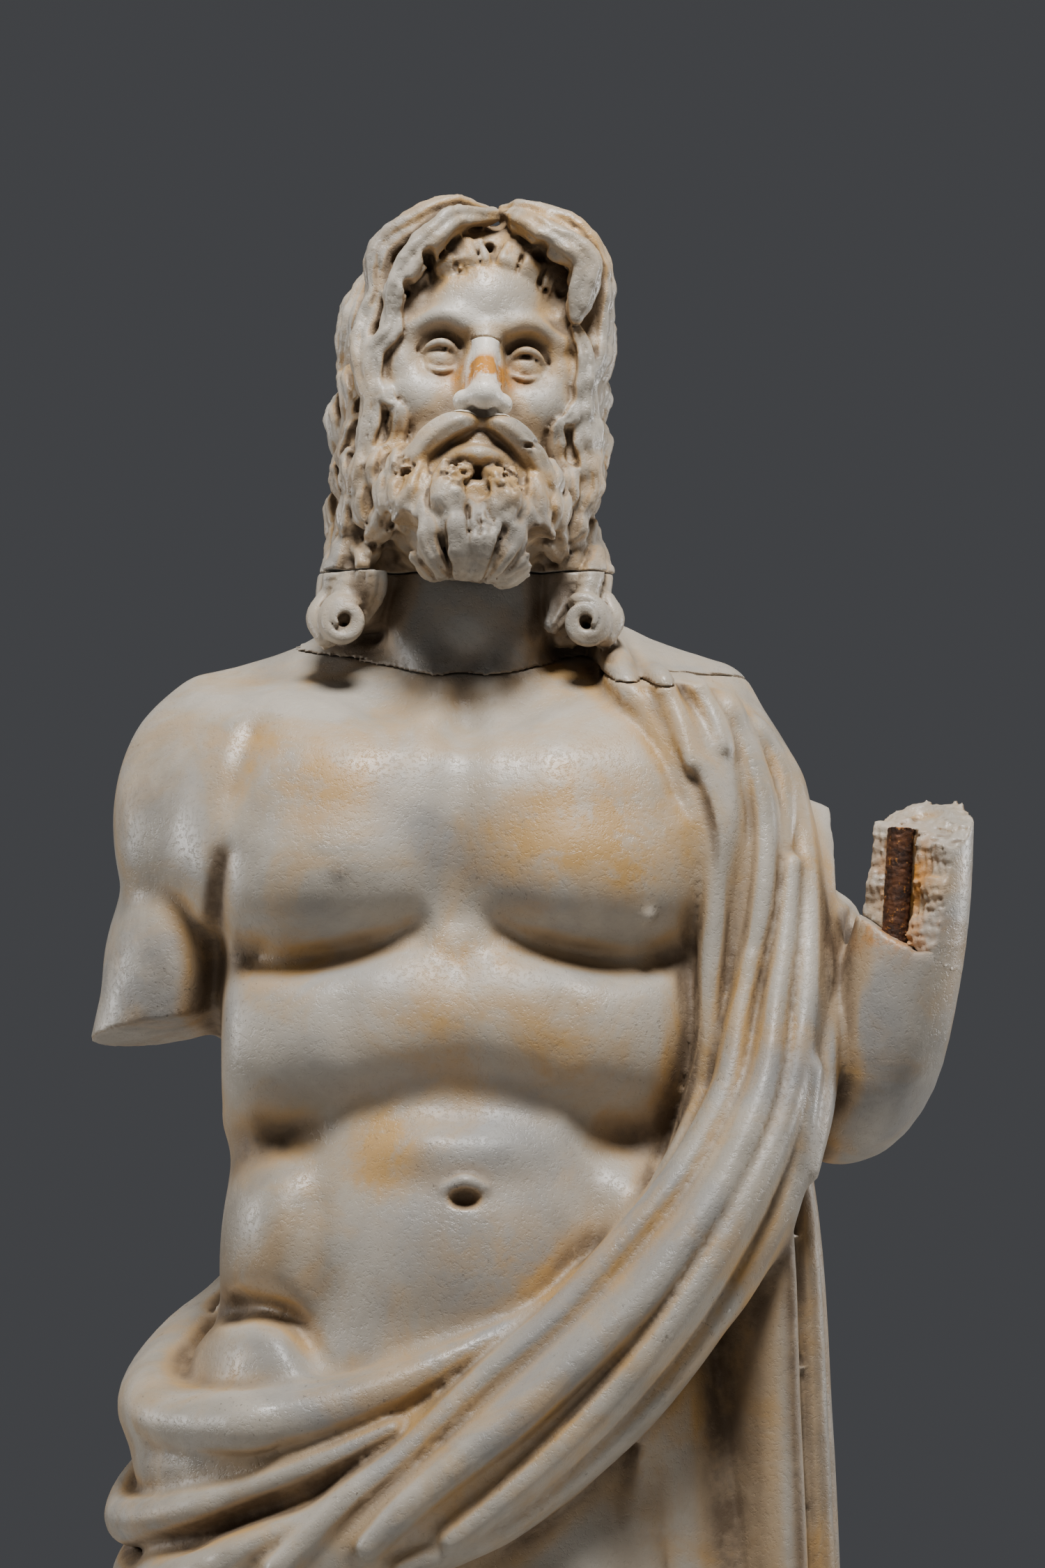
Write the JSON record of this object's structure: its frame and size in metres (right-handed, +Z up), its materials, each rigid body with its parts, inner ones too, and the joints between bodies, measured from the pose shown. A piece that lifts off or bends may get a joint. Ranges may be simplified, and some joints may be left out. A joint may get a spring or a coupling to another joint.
{
  "type": "marble statue",
  "caption": "Standing bearded god in marble, bare chest and folded cloak, broken and repaired arms, on a low plinth.",
  "frame": {"origin": "underside of the plinth, below the middle line of the figure's chest", "axes": "+Z up, -Y to the front of the figure, +X to the figure's left"},
  "size_m": [0.6709, 0.4707, 2.1028],
  "materials": {
    "marble": "weathered marble, stained ochre",
    "grey_marble": "smooth grey marble",
    "white_marble": "clean white marble",
    "rusty_iron": "rusty"
  },
  "bodies": {
    "root": {"body": "marble", "neck_insert": "grey_marble", "head": "marble", "nose_repair": "white_marble", "forearm_fragment": "marble", "iron_dowel": "rusty_iron", "plinth": "marble"}
  },
  "joints": []
}
